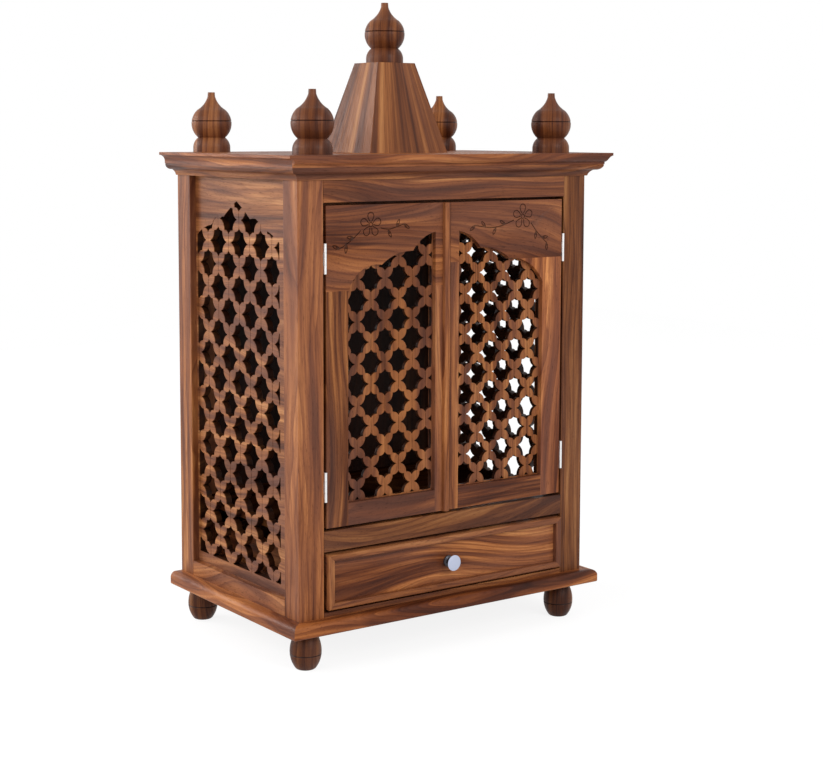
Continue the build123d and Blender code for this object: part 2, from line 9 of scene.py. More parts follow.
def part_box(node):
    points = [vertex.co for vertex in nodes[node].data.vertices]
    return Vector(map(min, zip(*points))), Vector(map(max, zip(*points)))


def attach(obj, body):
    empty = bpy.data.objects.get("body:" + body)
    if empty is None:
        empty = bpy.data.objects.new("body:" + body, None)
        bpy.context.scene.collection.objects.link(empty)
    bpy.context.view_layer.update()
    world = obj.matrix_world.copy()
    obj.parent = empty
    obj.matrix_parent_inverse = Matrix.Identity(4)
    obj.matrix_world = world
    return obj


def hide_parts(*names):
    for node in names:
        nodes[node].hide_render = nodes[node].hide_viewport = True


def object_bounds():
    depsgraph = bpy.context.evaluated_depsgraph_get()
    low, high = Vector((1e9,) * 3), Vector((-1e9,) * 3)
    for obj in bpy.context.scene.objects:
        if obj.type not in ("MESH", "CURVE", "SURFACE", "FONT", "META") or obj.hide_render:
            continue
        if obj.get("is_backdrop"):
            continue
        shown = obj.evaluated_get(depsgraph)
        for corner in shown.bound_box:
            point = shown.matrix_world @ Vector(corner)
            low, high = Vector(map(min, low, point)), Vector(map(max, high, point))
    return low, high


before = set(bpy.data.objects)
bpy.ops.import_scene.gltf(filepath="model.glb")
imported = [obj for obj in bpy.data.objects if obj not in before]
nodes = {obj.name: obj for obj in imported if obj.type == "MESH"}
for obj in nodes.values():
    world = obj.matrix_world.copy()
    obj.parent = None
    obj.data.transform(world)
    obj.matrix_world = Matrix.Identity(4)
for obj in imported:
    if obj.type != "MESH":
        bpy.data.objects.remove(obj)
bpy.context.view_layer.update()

scene = bpy.context.scene

# View: the photograph looks at the cabinet from the left front, a little above the
# middle of its doors. The lens is long and shifted down a little, as for a tall piece.
PHOTO_WIDTH = 823
focal_pixels = 1689.4
horizon_drop = 79.5
axis_left = 7.9
view_place = (-1.7312, -2.5049, 0.8977)
view_pitch = 5.756
view_yaw = 35.211
view_roll = 0.133

lens = bpy.data.cameras.new("view_lens")
lens.sensor_width = 36.0
lens.lens = focal_pixels / PHOTO_WIDTH * lens.sensor_width
lens.shift_x = axis_left / PHOTO_WIDTH
lens.shift_y = -horizon_drop / PHOTO_WIDTH
camera = bpy.data.objects.new("view", lens)
camera.location = view_place
turned_left = Matrix.Rotation(math.radians(-view_yaw), 3, "Z")
tipped_down = Matrix.Rotation(math.radians(90 - view_pitch), 3, "X")
rolled = Matrix.Rotation(math.radians(view_roll), 3, "Z")
camera.rotation_euler = (turned_left @ tipped_down @ rolled).to_euler()
scene.collection.objects.link(camera)
scene.camera = camera
scene.view_settings.view_transform = "Standard"


# Studio: a pale floor and sky that the camera, metal and glass see as a white background,
# while the wood is lit by a softer sky and three large panels of light.
def wire(tree, kind, inputs=None, **settings):
    """Add a shader or geometry node, set it up and link or fill its sockets."""
    made = tree.nodes.new(kind)
    for key, value in settings.items():
        setattr(made, key, value)
    for key, value in (inputs or {}).items():
        if isinstance(value, bpy.types.NodeSocket):
            tree.links.new(value, made.inputs[key])
        else:
            made.inputs[key].default_value = value
    return made


def maths(tree, operation, first, second=0.0):
    """One step of arithmetic on two sockets or numbers."""
    return wire(tree, "ShaderNodeMath", {0: first, 1: second}, operation=operation).outputs[0]


def background_rays(tree):
    """1 for a ray from the camera, off gloss or through glass, 0 for light on a surface."""
    rays = wire(tree, "ShaderNodeLightPath").outputs
    gloss_or_glass = maths(tree, "MAXIMUM", rays["Is Glossy Ray"], rays["Is Transmission Ray"])
    return maths(tree, "MAXIMUM", rays["Is Camera Ray"], gloss_or_glass)


def grey(level):
    """A colour with no hue, in the linear values that shaders take."""
    return (level, level, level, 1.0)


def blank_material(name):
    """A material with an empty node tree, and the tree."""
    made = bpy.data.materials.new(name)
    made.use_nodes = True
    made.node_tree.nodes.clear()
    return made, made.node_tree


sky_strength = 0.62
world = bpy.data.worlds.new("studio")
world.use_nodes = True
tree = world.node_tree
tree.nodes.clear()
strength = wire(
    tree,
    "ShaderNodeMapRange",
    {"Value": background_rays(tree), "To Min": sky_strength, "To Max": 1.0},
)
sky = wire(tree, "ShaderNodeBackground", {"Color": grey(1.0), "Strength": strength.outputs[0]})
wire(tree, "ShaderNodeOutputWorld", {"Surface": sky.outputs[0]})
scene.world = world

# As background the floor glows nearly white, and a faint matt coat takes the shadow
floor_half = 4.0
floor_grey = 0.80
floor_glow = 0.86
shadow_grey = 0.20
corners = [(x * floor_half, y * floor_half, 0) for x, y in ((-1, -1), (1, -1), (1, 1), (-1, 1))]
floor_mesh = bpy.data.meshes.new("studio_floor")
floor_mesh.from_pydata(corners, [], [(0, 1, 2, 3)])
studio_floor = bpy.data.objects.new("studio_floor", floor_mesh)
scene.collection.objects.link(studio_floor)
paint, tree = blank_material("studio_white")
matt = wire(tree, "ShaderNodeBsdfDiffuse", {"Color": grey(floor_grey)})
faint = wire(tree, "ShaderNodeBsdfDiffuse", {"Color": grey(shadow_grey)})
glow = wire(tree, "ShaderNodeEmission", {"Color": grey(1.0), "Strength": floor_glow})
both = wire(tree, "ShaderNodeAddShader", {0: glow.outputs[0], 1: faint.outputs[0]})
plain = wire(
    tree,
    "ShaderNodeMixShader",
    {0: background_rays(tree), 1: matt.outputs[0], 2: both.outputs[0]},
)
wire(tree, "ShaderNodeOutputMaterial", {"Surface": plain.outputs[0]})
floor_mesh.materials.append(paint)
studio_floor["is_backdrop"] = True

# Each panel's place and breadth in metres, and its watts
panels = {
    "panel_left": ((-3.0, -0.5, 1.9), 1.8, 38.0),
    "panel_rear_left": ((-2.1, 2.6, 1.6), 1.6, 60.0),
    "panel_front": ((0.4, -3.6, 2.2), 1.8, 66.0),
}
lit_point = Vector((0, 0, 0.5))
for name, (place, breadth, watts) in panels.items():
    lamp = bpy.data.lights.new(name, "AREA")
    lamp.size = breadth
    lamp.energy = watts
    light = bpy.data.objects.new(name, lamp)
    light.location = place
    light.rotation_euler = (lit_point - Vector(place)).to_track_quat("-Z", "Y").to_euler()
    scene.collection.objects.link(light)

# Feet: four turned balls of sheesham with a flat to stand on, a neck and a collar.
# A scored line from the lathe runs round the fullest part, with painted shade in it.
# Which of a piece's axes lies along the grain, and which two lie across it
GRAIN_ORDER = {"X": (0, 1, 2), "Y": (1, 0, 2), "Z": (2, 0, 1)}
SMOOTH_UNDER = math.radians(35)
NEARLY_NOTHING = 1e-6


def srgb(red, green, blue):
    """A colour read as 0 to 255 on screen, in the linear values that shaders take."""
    linear = [((v / 255 + 0.055) / 1.055) ** 2.4 for v in (red, green, blue)]
    return (*linear, 1.0)


def vector_maths(tree, operation, first, second):
    """One step of arithmetic on two vectors, or on a vector and the number that scales it."""
    inputs = {0: first, 3 if operation == "SCALE" else 1: second}
    return wire(tree, "ShaderNodeVectorMath", inputs, operation=operation).outputs[0]


def blend(tree, kind, factor, first, second):
    """Two colours mixed or multiplied."""
    inputs = {0: factor, 6: first, 7: second}
    return wire(tree, "ShaderNodeMix", inputs, data_type="RGBA", blend_type=kind).outputs[2]


def sheesham_grain():
    """Node group: honey and brown bands, growth lines, heart, fine dark lines and pores."""
    group = bpy.data.node_groups.new("sheesham_grain", "ShaderNodeTree")
    face = group.interface
    face.new_socket("Vector", in_out="INPUT", socket_type="NodeSocketVector")
    face.new_socket("Tint", in_out="INPUT", socket_type="NodeSocketVector")
    for label in ("Figure", "Lines", "Heart"):
        face.new_socket(label, in_out="INPUT", socket_type="NodeSocketFloat")
    face.new_socket("Color", in_out="OUTPUT", socket_type="NodeSocketColor")
    face.new_socket("Roughness", in_out="OUTPUT", socket_type="NodeSocketFloat")
    face.new_socket("Height", in_out="OUTPUT", socket_type="NodeSocketFloat")
    given = group.nodes.new("NodeGroupInput").outputs
    result = group.nodes.new("NodeGroupOutput").inputs
    number = partial(maths, group)
    vector = partial(vector_maths, group)
    mix = partial(blend, group)

    def noise(place, scale, detail, roughness=0.5, colour=False):
        made = wire(
            group,
            "ShaderNodeTexNoise",
            {"Vector": place, "Scale": scale, "Detail": detail, "Roughness": roughness},
        )
        return made.outputs["Color" if colour else "Fac"]

    def ramp(value, stops):
        made = wire(group, "ShaderNodeValToRGB", {"Fac": value})
        points = made.color_ramp.elements
        while len(points) < len(stops):
            points.new(0.5)
        for point, (position, shade) in zip(points, stops):
            point.position = position
            point.color = shade
        return made.outputs["Color"]

    # Scales count waves in a metre, along the grain and then across it both ways. The
    # rings drift off the straight by up to half of drift_reach, and ripple a little
    drift_reach, ripple_reach = 0.17, 0.003
    middle_grey = (0.5, 0.5, 0.5)
    place = given["Vector"]
    slow = noise(vector("MULTIPLY", place, (2.0, 6.0, 6.0)), 1.0, 1.0, 0.4, colour=True)
    slow = vector("SUBTRACT", slow, middle_grey)
    drift = vector("SCALE", slow, number("MULTIPLY", given["Figure"], drift_reach))
    ripple = noise(vector("MULTIPLY", place, (4.0, 22.0, 22.0)), 1.0, 1.0, 0.5, colour=True)
    ripple = vector("SUBTRACT", ripple, middle_grey)
    ripple = vector("MULTIPLY", ripple, (0.0, ripple_reach, ripple_reach))
    bent = vector("ADD", vector("ADD", place, drift), ripple)
    along, *across = wire(group, "ShaderNodeSeparateXYZ", {0: bent}).outputs
    squares = [number("MULTIPLY", side, side) for side in across]
    ring = number("SQRT", number("ADD", *squares))

    def on_rings(stretch, layer):
        drawn_out = number("MULTIPLY", along, stretch)
        return wire(group, "ShaderNodeCombineXYZ", {0: drawn_out, 1: ring, 2: layer}).outputs[0]

    # Honey and brown bands, a year or more of growth each
    bands = noise(on_rings(0.045, 0.0), 48.0, 3.0, 0.55)
    honey_and_brown = [
        (0.30, srgb(80, 43, 25)),
        (0.41, srgb(110, 62, 35)),
        (0.49, srgb(138, 82, 44)),
        (0.57, srgb(162, 102, 56)),
        (0.68, srgb(190, 130, 78)),
    ]
    wood = ramp(bands, honey_and_brown)

    # Growth lines, each darker towards its end; they wander closer and further apart
    rings_to_a_metre, wandering = 85.0, 3.6
    wander = noise(on_rings(0.14, 5.3), 26.0, 2.0)
    count = number(
        "ADD", number("MULTIPLY", ring, rings_to_a_metre), number("MULTIPLY", wander, wandering)
    )
    one_year = [(0.0, grey(0)), (0.55, grey(0.12)), (0.93, grey(1)), (1.0, grey(0))]
    growth = ramp(number("FRACT", count), one_year)
    growth = number("MULTIPLY", growth, given["Lines"])
    wood = mix("MULTIPLY", growth, wood, srgb(158, 126, 112))

    # Patches of dark heart, fine dark lines, a purple-brown bloom and open pores
    heart = noise(on_rings(0.12, 7.7), 15.0, 2.0, 0.5)
    heart = ramp(heart, [(0.50, grey(0)), (0.54, grey(1))])
    heart = number("MULTIPLY", heart, given["Heart"])
    wood = mix("MULTIPLY", heart, wood, srgb(164, 140, 132))
    lines = noise(on_rings(0.03, 3.1), 330.0, 2.0, 0.6)
    lines = ramp(lines, [(0.40, grey(1)), (0.56, grey(0))])
    wood = mix("MULTIPLY", number("MULTIPLY", lines, 0.42), wood, srgb(172, 144, 130))
    bloom = noise(vector("MULTIPLY", place, (1.2, 6.0, 6.0)), 1.7, 2.0)
    bloom = ramp(bloom, [(0.42, grey(0)), (0.62, grey(1))])
    wood = mix("MIX", number("MULTIPLY", bloom, 0.30), wood, srgb(118, 78, 64))
    pores = noise(vector("MULTIPLY", bent, (55.0, 1500.0, 1500.0)), 1.0, 1.0)
    pores = ramp(pores, [(0.60, grey(0)), (0.74, grey(1))])
    wood = mix("MULTIPLY", number("MULTIPLY", pores, 0.60), wood, srgb(112, 84, 72))
    group.links.new(vector("MULTIPLY", wood, given["Tint"]), result["Color"])

    # Satin, but duller and lower in the lines and pores
    rough = number("ADD", number("MULTIPLY", lines, 0.06), 0.40)
    rough = number("ADD", number("MULTIPLY", pores, 0.25), rough)
    group.links.new(rough, result["Roughness"])
    dips = number("ADD", number("MULTIPLY", lines, 0.25), pores)
    group.links.new(number("SUBTRACT", 1.0, dips), result["Height"])
    return group


grain = sheesham_grain()


def sheesham(
    name, along, seed, tone=0.0, figure=1.0, lines=0.7, heart=0.8, gloss=0.16,
    border=None, fan=None, inside=None, pith=None, score=None,
):
    """Satin sheesham with its grain along an axis, from a part of the tree that the seed picks.

    tone is lighter or darker wood, or a tint; figure is how far the rings wander; lines and
    heart are the strength of the growth lines and dark patches. border is an edging mitred
    round the piece, fan the tower's tapering staves, inside painted shade past a plane, pith
    the way to the heart of the tree, and score the height of a thin band of painted shade
    in a lathe's scored line.
    """
    # Painted shade inside, where little light reaches past a plane, and how deep it goes
    inner_shade_depth, inner_shade_colour = 0.90, srgb(70, 52, 44)
    # Painted shade in a lathe's scored line: a thin darker band, and its half width
    groove_shade_half, groove_shade_colour = 0.0008, srgb(120, 104, 96)
    made, tree = blank_material(name)
    number = partial(maths, tree)
    point = wire(tree, "ShaderNodeTexCoord").outputs["Object"]
    axes = wire(tree, "ShaderNodeSeparateXYZ", {0: point}).outputs

    def grain_along(axis):
        order = {index: axes[source] for index, source in enumerate(GRAIN_ORDER[axis])}
        return wire(tree, "ShaderNodeCombineXYZ", order).outputs[0]

    laid = grain_along(along)
    if border:
        # Mitred lengths: past the inner edge, whichever edge is nearer gives the grain
        inner_x, across, inner_across, middle, other = border
        past_x = number("SUBTRACT", number("ABSOLUTE", axes[0]), inner_x)
        offset = number("SUBTRACT", axes["XYZ".index(across)], middle)
        if across == "Z":
            offset = number("ABSOLUTE", offset)
        else:
            offset = number("MULTIPLY", offset, -1.0)
        past_across = number("SUBTRACT", offset, inner_across)
        nearer = number("GREATER_THAN", past_x, past_across)
        chosen = number("MULTIPLY", nearer, number("GREATER_THAN", past_x, 0.0))
        laid = wire(
            tree, "ShaderNodeMix", {0: chosen, 4: laid, 5: grain_along(other)}, data_type="VECTOR"
        ).outputs[1]
    if fan:
        # Staves that taper with the tower: the width is measured in shares of its own
        low, high, low_half, high_half, middle_y = fan
        share = wire(
            tree,
            "ShaderNodeMapRange",
            {
                "Value": axes[2],
                "From Min": low,
                "From Max": high,
                "To Min": 1.0,
                "To Max": high_half / low_half,
            },
        ).outputs[0]
        staves = {
            0: number("MULTIPLY", axes[2], 0.6),
            1: number("DIVIDE", axes[0], share),
            2: number("DIVIDE", number("SUBTRACT", axes[1], middle_y), share),
        }
        laid = wire(tree, "ShaderNodeCombineXYZ", staves).outputs[0]
    up_the_trunk = (seed * 0.731) % 1.0 * 4.0
    from_heart = pith or (
        0.055 + (seed * 0.377) % 1.0 * 0.16,
        0.045 + (seed * 0.593) % 1.0 * 0.14,
    )
    figured = wire(
        tree,
        "ShaderNodeGroup",
        {
            "Vector": vector_maths(tree, "ADD", laid, (up_the_trunk, *from_heart)),
            "Tint": tone if isinstance(tone, tuple) else (1 + tone,) * 3,
            "Figure": figure,
            "Lines": lines,
            "Heart": heart,
        },
        node_tree=grain,
    ).outputs
    colour = figured["Color"]
    # Past the plane the colour is painted darker, as shade
    if inside:
        axis, unshaded_at, fully_shaded_at = inside
        depth = wire(
            tree,
            "ShaderNodeMapRange",
            {
                "Value": axes["XYZ".index(axis)],
                "From Min": unshaded_at,
                "From Max": fully_shaded_at,
                "To Max": inner_shade_depth,
            },
        ).outputs[0]
        colour = blend(tree, "MULTIPLY", depth, colour, inner_shade_colour)
    # A thin band at the scored line's height is painted darker, as shade in the groove
    if score:
        in_groove_shade = wire(
            tree, "ShaderNodeMath", {0: axes[2], 1: score, 2: groove_shade_half}, operation="COMPARE"
        ).outputs[0]
        colour = blend(tree, "MULTIPLY", in_groove_shade, colour, groove_shade_colour)
    bump = wire(
        tree,
        "ShaderNodeBump",
        {"Height": figured["Height"], "Strength": 0.35, "Distance": 0.0004},
    )
    shader = wire(
        tree,
        "ShaderNodeBsdfPrincipled",
        {
            "Base Color": colour,
            "Roughness": figured["Roughness"],
            "Normal": bump.outputs[0],
            "Specular IOR Level": gloss,
        },
    )
    wire(tree, "ShaderNodeOutputMaterial", {"Surface": shader.outputs[0]})
    return made


def finish_node(node, material):
    """Give a CAD node the material in place of its plain one."""
    mesh = nodes[node].data
    mesh.materials.clear()
    mesh.materials.append(material)


def arc_through(start, middle, end, steps):
    """Points on the circle through three points, from the first to the last."""
    (ax, ay), (bx, by), (cx, cy) = start, middle, end
    doubled_area = 2 * (ax * (by - cy) + bx * (cy - ay) + cx * (ay - by))
    a2, b2, c2 = ax * ax + ay * ay, bx * bx + by * by, cx * cx + cy * cy
    centre_x = (a2 * (by - cy) + b2 * (cy - ay) + c2 * (ay - by)) / doubled_area
    centre_y = (a2 * (cx - bx) + b2 * (ax - cx) + c2 * (bx - ax)) / doubled_area
    radius = math.hypot(ax - centre_x, ay - centre_y)
    first = math.atan2(ay - centre_y, ax - centre_x)
    to_middle = (math.atan2(by - centre_y, bx - centre_x) - first) % math.tau
    to_end = (math.atan2(cy - centre_y, cx - centre_x) - first) % math.tau
    sweep = to_end if to_middle < to_end else to_end - math.tau
    angles = [first + sweep * i / steps for i in range(steps + 1)]
    return [(centre_x + radius * math.cos(a), centre_y + radius * math.sin(a)) for a in angles]


def scored(profile, height, width=0.0011, depth=0.0007):
    """A turning profile with a fine V line cut round it at one height."""
    for index, ((r1, z1), (r2, z2)) in enumerate(zip(profile, profile[1:]), start=1):
        if z1 < height <= z2:
            radius = r1 + (r2 - r1) * (height - z1) / (z2 - z1)
            kept_low = [p for p in profile[:index] if p[1] < height - width]
            kept_high = [p for p in profile[index:] if p[1] > height + width]
            cut = [(radius, height - width), (radius - depth, height), (radius, height + width)]
            return kept_low + cut + kept_high
    return profile


def mesh_piece(name, build, material=None):
    """An object of the mesh that was built, at the origin, with its place in its mesh."""
    mesh = bpy.data.meshes.new(name)
    build.to_mesh(mesh)
    build.free()
    if material:
        mesh.materials.append(material)
    piece = bpy.data.objects.new(name, mesh)
    scene.collection.objects.link(piece)
    return piece


def smooth(mesh):
    """Soft shading everywhere but on edges that a hand would feel."""
    mesh.shade_smooth()
    mesh.set_sharp_from_angle(angle=SMOOTH_UNDER)


def turned(name, profile, centre, material, body, steps=72):
    """A piece turned on the lathe: a profile of radius and height, round an upright axis."""
    x, y, z = centre
    turns = [(math.cos(math.tau * i / steps), math.sin(math.tau * i / steps)) for i in range(steps)]
    build = bmesh.new()
    rings = []
    for radius, height in profile:
        spots = turns if radius > NEARLY_NOTHING else turns[:1]
        rings.append(
            [build.verts.new((x + radius * c, y + radius * s, z + height)) for c, s in spots]
        )
    for low, high in zip(rings, rings[1:]):
        for i in range(steps):
            j = (i + 1) % steps
            around = [(low, i), (low, j), (high, j), (high, i)]
            corners = [ring[index % len(ring)] for ring, index in around]
            build.faces.new(list(dict.fromkeys(corners)))
    bmesh.ops.recalc_face_normals(build, faces=build.faces)
    piece = mesh_piece(name, build, material)
    smooth(piece.data)
    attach(piece, body)
    return piece


def far_pith(middle):
    """The way to a heart well outside a turned piece, so that its stripes stand upright."""
    return (0.18 - middle.x, -0.125 - middle.y)


foot_profile = (
    [(0.0, 0.0)]
    + arc_through((0.0135, 0.0), (0.0160, 0.0007), (0.01795, 0.0025), 4)
    + arc_through((0.01795, 0.0025), (0.02461, 0.01554), (0.0269, 0.030), 14)[1:]
    + arc_through((0.0269, 0.030), (0.02505, 0.0444), (0.0196, 0.058), 14)[1:]
    + [(0.0196, 0.0600), (0.0214, 0.0600), (0.0220, 0.0606), (0.0220, 0.0659), (0.0, 0.0659)]
)
foot_score = 0.0262
for number, end_side in enumerate(("front_left", "front_right", "rear_left", "rear_right")):
    low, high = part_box(f"foot_{end_side}")
    middle = (low + high) / 2
    wood = sheesham(
        f"foot_wood_{end_side}", "Z", 3.1 + number, -0.36, 0.15,
        pith=far_pith(middle), score=foot_score,
    )
    profile = scored(foot_profile, foot_score)
    centre = (middle.x, middle.y, 0.0)
    foot = turned(f"turned_foot_{end_side}", profile, centre, wood, "cabinet")
    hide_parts(f"foot_{end_side}")

# Base plate: one thick sheesham board, its front and ends nosed over by hand plane.
# The grain of its lipping runs round the cabinet, mitred at the front corners.
half_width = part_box("post_front_right")[1].x
body_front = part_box("post_front_left")[0].y
round_the_edge = (half_width, "Y", -body_front, 0.0, "Y")
base_tint = (1.08, 0.98, 0.88)
base_wood = sheesham("base_plate_wood", "X", 11.3, base_tint, 0.8, border=round_the_edge)
finish_node("base_plate", base_wood)

# Posts: four squared lengths of sheesham from the base plate to the top board, their
# arrises just eased. The front left one is the palest, cut near the sapwood.
post_tones = {"front_left": 0.20, "front_right": -0.30, "rear_left": 0.06, "rear_right": 0.0}
for number, (spot, tone) in enumerate(post_tones.items()):
    seed = 22.4 + number * 1.3
    finish_node(f"post_{spot}", sheesham(f"post_wood_{spot}", "Z", seed, tone, 0.35, heart=0.3))

# Side jaalis: one board on each side, sawn through with eight-pointed stars under a
# cusped arch. Every hole has its edges eased by hand on both faces.
MM = 0.001


def star_outline(tip_x, tip_z):
    """The star: sharp tips up, down and to the sides, blunt shoulders between them."""
    shoulder_x, shoulder_z = 0.50 * tip_x, 0.72 * tip_z
    side_bow = 0.175
    corners = []
    for sign_x, sign_z in ((1, 1), (1, -1), (-1, -1), (-1, 1)):
        upright = (0.0, sign_z * tip_z)
        sideways = (sign_x * tip_x, 0.0)
        tip = upright if sign_x * sign_z > 0 else sideways
        corners += [tip, (sign_x * shoulder_x, sign_z * shoulder_z)]
    points = []
    for start, end in zip(corners, corners[1:] + corners[:1]):
        across, up = end[0] - start[0], end[1] - start[1]
        length = math.hypot(across, up)
        middle = ((start[0] + end[0]) / 2, (start[1] + end[1]) / 2)
        normal = (up / length, -across / length)
        inward = -1 if normal[0] * middle[0] + normal[1] * middle[1] > 0 else 1
        bow = inward * side_bow * length
        bowed = (middle[0] + normal[0] * bow, middle[1] + normal[1] * bow)
        points += arc_through(start, bowed, end, 4)[:-1]
    return points


def prism(name, outline, depths, place):
    """A closed solid: an outline at several depths, each with its own scale."""
    build = bmesh.new()
    layers = []
    for depth, scale in depths:
        layers.append([build.verts.new(place(u * scale, w * scale, depth)) for u, w in outline])
    count = len(outline)
    for near, far in zip(layers, layers[1:]):
        for i in range(count):
            j = (i + 1) % count
            build.faces.new((near[i], near[j], far[j], far[i]))
    build.faces.new(layers[0])
    build.faces.new(list(reversed(layers[-1])))
    bmesh.ops.recalc_face_normals(build, faces=build.faces)
    return mesh_piece(name, build)


def shaping_tree(name, kinds):
    """An empty geometry tree with named inputs, its inputs' sockets and its result's."""
    tree = bpy.data.node_groups.new(name, "GeometryNodeTree")
    face = tree.interface
    face.new_socket("Geometry", in_out="INPUT", socket_type="NodeSocketGeometry")
    face.new_socket("Geometry", in_out="OUTPUT", socket_type="NodeSocketGeometry")
    for label, kind in kinds.items():
        face.new_socket(label, in_out="INPUT", socket_type=f"NodeSocket{kind}")
    given = tree.nodes.new("NodeGroupInput").outputs
    result = tree.nodes.new("NodeGroupOutput").inputs
    return tree, given, result


def piercing_tree():
    """Geometry nodes: rows of star cutters, kept inside an opening, are cut from a board."""
    kinds = {
        "Board": "Object",
        "Opening": "Object",
        "Column step": "Float",
        "Row step": "Float",
        "Columns": "Int",
        "Rows": "Int",
        "First hole": "Vector",
        "Across": "Vector",
        "Wood": "Material",
    }
    tree, given, result = shaping_tree("jaali_piercing", kinds)
    number = partial(maths, tree)
    vector = partial(vector_maths, tree)
    board = wire(tree, "GeometryNodeObjectInfo", {"Object": given["Board"]})
    opening = wire(tree, "GeometryNodeObjectInfo", {"Object": given["Opening"]})
    wide = number("MULTIPLY", number("SUBTRACT", given["Columns"], 1.0), given["Column step"])
    tall = number("MULTIPLY", number("SUBTRACT", given["Rows"], 1.0), given["Row step"])
    grid = wire(
        tree,
        "GeometryNodeMeshGrid",
        {
            "Size X": wide,
            "Size Y": tall,
            "Vertices X": given["Columns"],
            "Vertices Y": given["Rows"],
        },
    )
    spot = wire(tree, "GeometryNodeInputPosition").outputs[0]
    spot = wire(tree, "ShaderNodeSeparateXYZ", {0: spot}).outputs
    right = number("ADD", spot[0], number("DIVIDE", wide, 2.0))
    up = number("ADD", spot[1], number("DIVIDE", tall, 2.0))

    # Staggered rows: every other place of the grid is left out
    column = number("ROUND", number("DIVIDE", right, given["Column step"]))
    row = number("ROUND", number("DIVIDE", up, given["Row step"]))
    odd = number("FLOORED_MODULO", number("ADD", column, row), 2.0)
    thinned = wire(
        tree,
        "GeometryNodeDeleteGeometry",
        {"Geometry": grid.outputs["Mesh"], "Selection": number("GREATER_THAN", odd, 0.5)},
        domain="POINT",
    )
    sideways = vector("SCALE", given["Across"], right)
    upward = wire(tree, "ShaderNodeCombineXYZ", {2: up}).outputs[0]
    spread = vector("ADD", vector("ADD", sideways, upward), given["First hole"])
    placed = wire(
        tree,
        "GeometryNodeSetPosition",
        {"Geometry": thinned.outputs[0], "Position": spread},
    )
    cutters = wire(
        tree,
        "GeometryNodeInstanceOnPoints",
        {"Points": placed.outputs[0], "Instance": given["Geometry"]},
    )
    cutters = wire(tree, "GeometryNodeRealizeInstances", {"Geometry": cutters.outputs[0]})
    kept = wire(
        tree,
        "GeometryNodeMeshBoolean",
        {"Mesh 2": cutters.outputs[0]},
        operation="INTERSECT",
        solver="EXACT",
    )
    tree.links.new(opening.outputs["Geometry"], kept.inputs["Mesh 2"])
    pierced = wire(
        tree,
        "GeometryNodeMeshBoolean",
        {"Mesh 1": board.outputs["Geometry"], "Mesh 2": kept.outputs["Mesh"]},
        operation="DIFFERENCE",
        solver="EXACT",
    )
    whole = wire(tree, "GeometryNodeRealizeInstances", {"Geometry": pierced.outputs["Mesh"]})
    dressed = wire(
        tree,
        "GeometryNodeSetMaterial",
        {"Geometry": whole.outputs[0], "Material": given["Wood"]},
    )
    tree.links.new(dressed.outputs[0], result[0])
    return tree


piercing = piercing_tree()


def shaped(start, tree, values, name):
    """Run a geometry tree on an object and keep what it makes as a plain mesh."""
    modifier = start.modifiers.new(tree.name, "NODES")
    modifier.node_group = tree
    for item in tree.interface.items_tree:
        if item.in_out == "INPUT" and item.name in values:
            modifier[item.identifier] = values[item.name]
    start.update_tag()
    bpy.context.view_layer.update()
    graph = bpy.context.evaluated_depsgraph_get()
    mesh = bpy.data.meshes.new_from_object(start.evaluated_get(graph), depsgraph=graph)
    mesh.name = name
    smooth(mesh)
    start.modifiers.clear()
    bpy.data.objects.remove(start)
    piece = bpy.data.objects.new(name, mesh)
    scene.collection.objects.link(piece)
    return piece


def jaali(name, outline, opening, thickness, place, star, step, first, counts, across, wood, vein):
    """A board pierced with stars inside an opening.

    place turns a point of the face and a depth into a place in the cabinet. star is the
    star's tips, step the distance between columns and rows, first the lowest hole on the
    left, and vein the knife cut's half width and its nearest and furthest depth.
    """
    ease = 0.5 * MM
    over = 1.0 * MM
    flare = 1 + ease / (0.75 * star[0])
    eased = [
        (-over, flare),
        (0.0, flare),
        (ease, 1.0),
        (thickness - ease, 1.0),
        (thickness, flare),
        (thickness + over, flare),
    ]
    origin = Vector(place(0.0, 0.0, 0.0))

    def from_origin(u, w, depth):
        return Vector(place(u, w, depth)) - origin

    cutter = prism(f"{name}_cutter", star_outline(*star), eased, from_origin)
    # A thin knife cut runs up from each star's top tip to the next star's bottom tip
    half, near, far = vein
    low_end = star[1] * flare + 0.5 * MM
    high_end = 2 * step[1] - low_end
    slit = [(-half, low_end), (half, low_end), (half, high_end), (-half, high_end)]
    knife = prism(f"{name}_knife", slit, [(near, 1.0), (far, 1.0)], from_origin)
    both = bmesh.new()
    both.from_mesh(cutter.data)
    both.from_mesh(knife.data)
    both.to_mesh(cutter.data)
    both.free()
    bpy.data.objects.remove(knife)
    board = prism(f"{name}_board", outline, [(0.0, 1.0), (thickness, 1.0)], place)
    through = [(-2 * over, 1.0), (thickness + 2 * over, 1.0)]
    hole = prism(f"{name}_opening", opening, through, place)
    values = {
        "Board": board,
        "Opening": hole,
        "Column step": step[0],
        "Row step": step[1],
        "Columns": counts[0],
        "Rows": counts[1],
        "First hole": Vector(place(first[0], first[1], 0.0)),
        "Across": across,
        "Wood": wood,
    }
    piece = shaped(cutter, piercing, values, name)
    bpy.data.objects.remove(board)
    bpy.data.objects.remove(hole)
    return piece


def arched_outline(left, right, bottom, middle, crown, inner, outer, rounds, spring):
    """Upright sides under three lobes a side that meet in downward cusps.

    inner and outer are the cusps, and rounds a point on each lobe from the crown outwards,
    all measured from the middle. spring is the height where the lobes begin.
    """
    inner_round, outer_round, spring_round = rounds

    def lobes_from(edge):
        points = []
        for start, through, end in (
            ((edge, spring), spring_round, outer),
            (outer, outer_round, inner),
            (inner, inner_round, (0.0, crown)),
        ):
            points += arc_through(start, through, end, 8)[:-1]
        return points

    points = [(left, bottom), (right, bottom)]
    points += [(middle + u, w) for u, w in lobes_from(right - middle)]
    points += [(middle, crown)]
    points += [(middle - u, w) for u, w in reversed(lobes_from(middle - left))]
    return points


